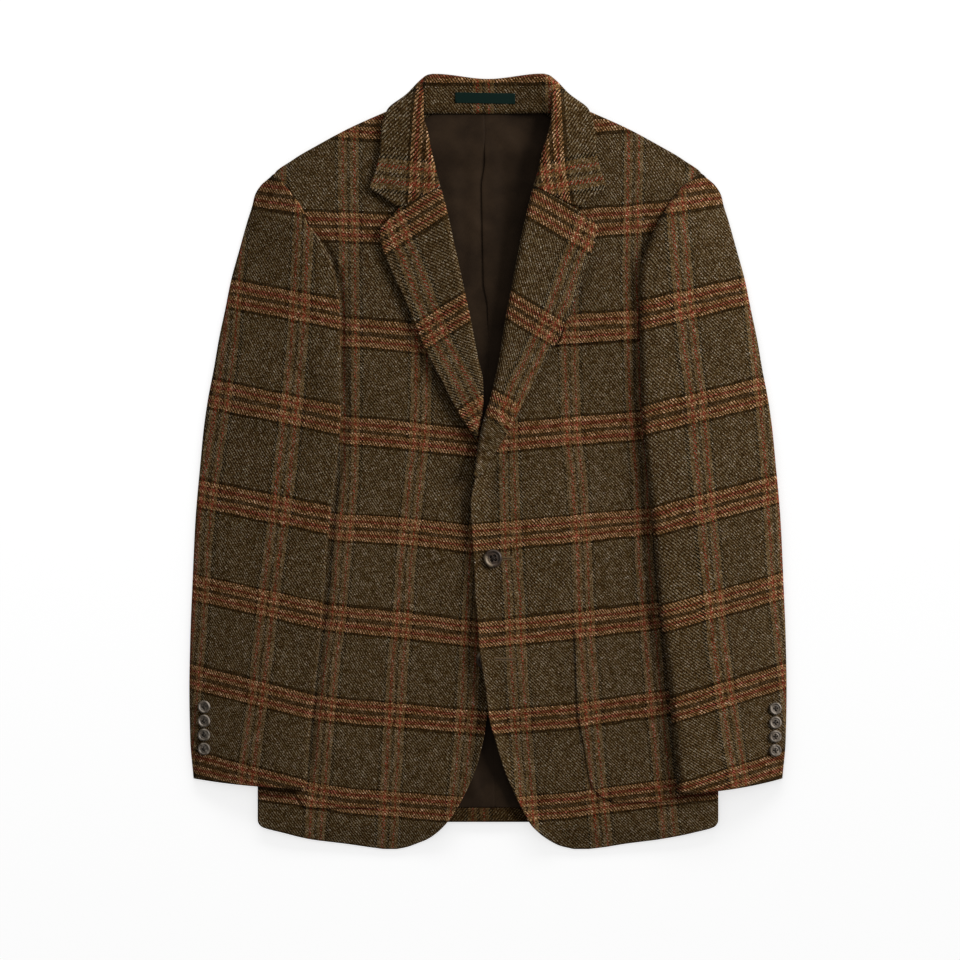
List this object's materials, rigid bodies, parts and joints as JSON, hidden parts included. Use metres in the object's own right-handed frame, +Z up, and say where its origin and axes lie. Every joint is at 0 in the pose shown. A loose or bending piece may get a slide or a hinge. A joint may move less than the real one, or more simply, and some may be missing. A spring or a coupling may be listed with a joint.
{
  "type": "tweed hacking jacket",
  "caption": "Single-breasted check tweed jacket laid flat on its back and buttoned, with notch lapels, a cutaway front and patch pockets on the hips.",
  "frame": {"origin": "middle of the jacket's outline, on the surface that it lies on", "axes": "+X towards the wearer's left side, +Y towards the collar, +Z up from the surface, out of the front of the jacket"},
  "size_m": [0.6288, 0.815, 0.0178],
  "materials": {
    "tweed": "brown and olive twill-weave tweed with a tan, rust and dark green check, dry and lightly napped",
    "lining": "dark brown satin-like lining with a soft sheen",
    "label": "plain dark green woven label, left bare",
    "horn": "mottled dark brown horn, four-hole, satin polish"
  },
  "bodies": {
    "root": {"back_right": "tweed", "back_left": "tweed", "back_hem_turnup": "tweed", "front_right": "tweed", "front_left": "tweed", "lapel_right": "tweed", "lapel_left": "tweed", "collar_back": "tweed", "collar_leaf_right": "tweed", "collar_leaf_left": "tweed", "top_sleeve_right": "tweed", "top_sleeve_left": "tweed", "under_sleeve_right": "tweed", "under_sleeve_left": "tweed", "hip_pocket_right": "tweed", "hip_pocket_left": "tweed", "breast_welt": "tweed", "back_lining_right": "lining", "back_lining_left": "lining", "neck_label": "label", "front_button": "horn", "lower_button": "horn", "cuff_button_right_1": "horn", "cuff_button_right_2": "horn", "cuff_button_right_3": "horn", "cuff_button_right_4": "horn", "cuff_button_left_1": "horn", "cuff_button_left_2": "horn", "cuff_button_left_3": "horn", "cuff_button_left_4": "horn"}
  },
  "joints": []
}
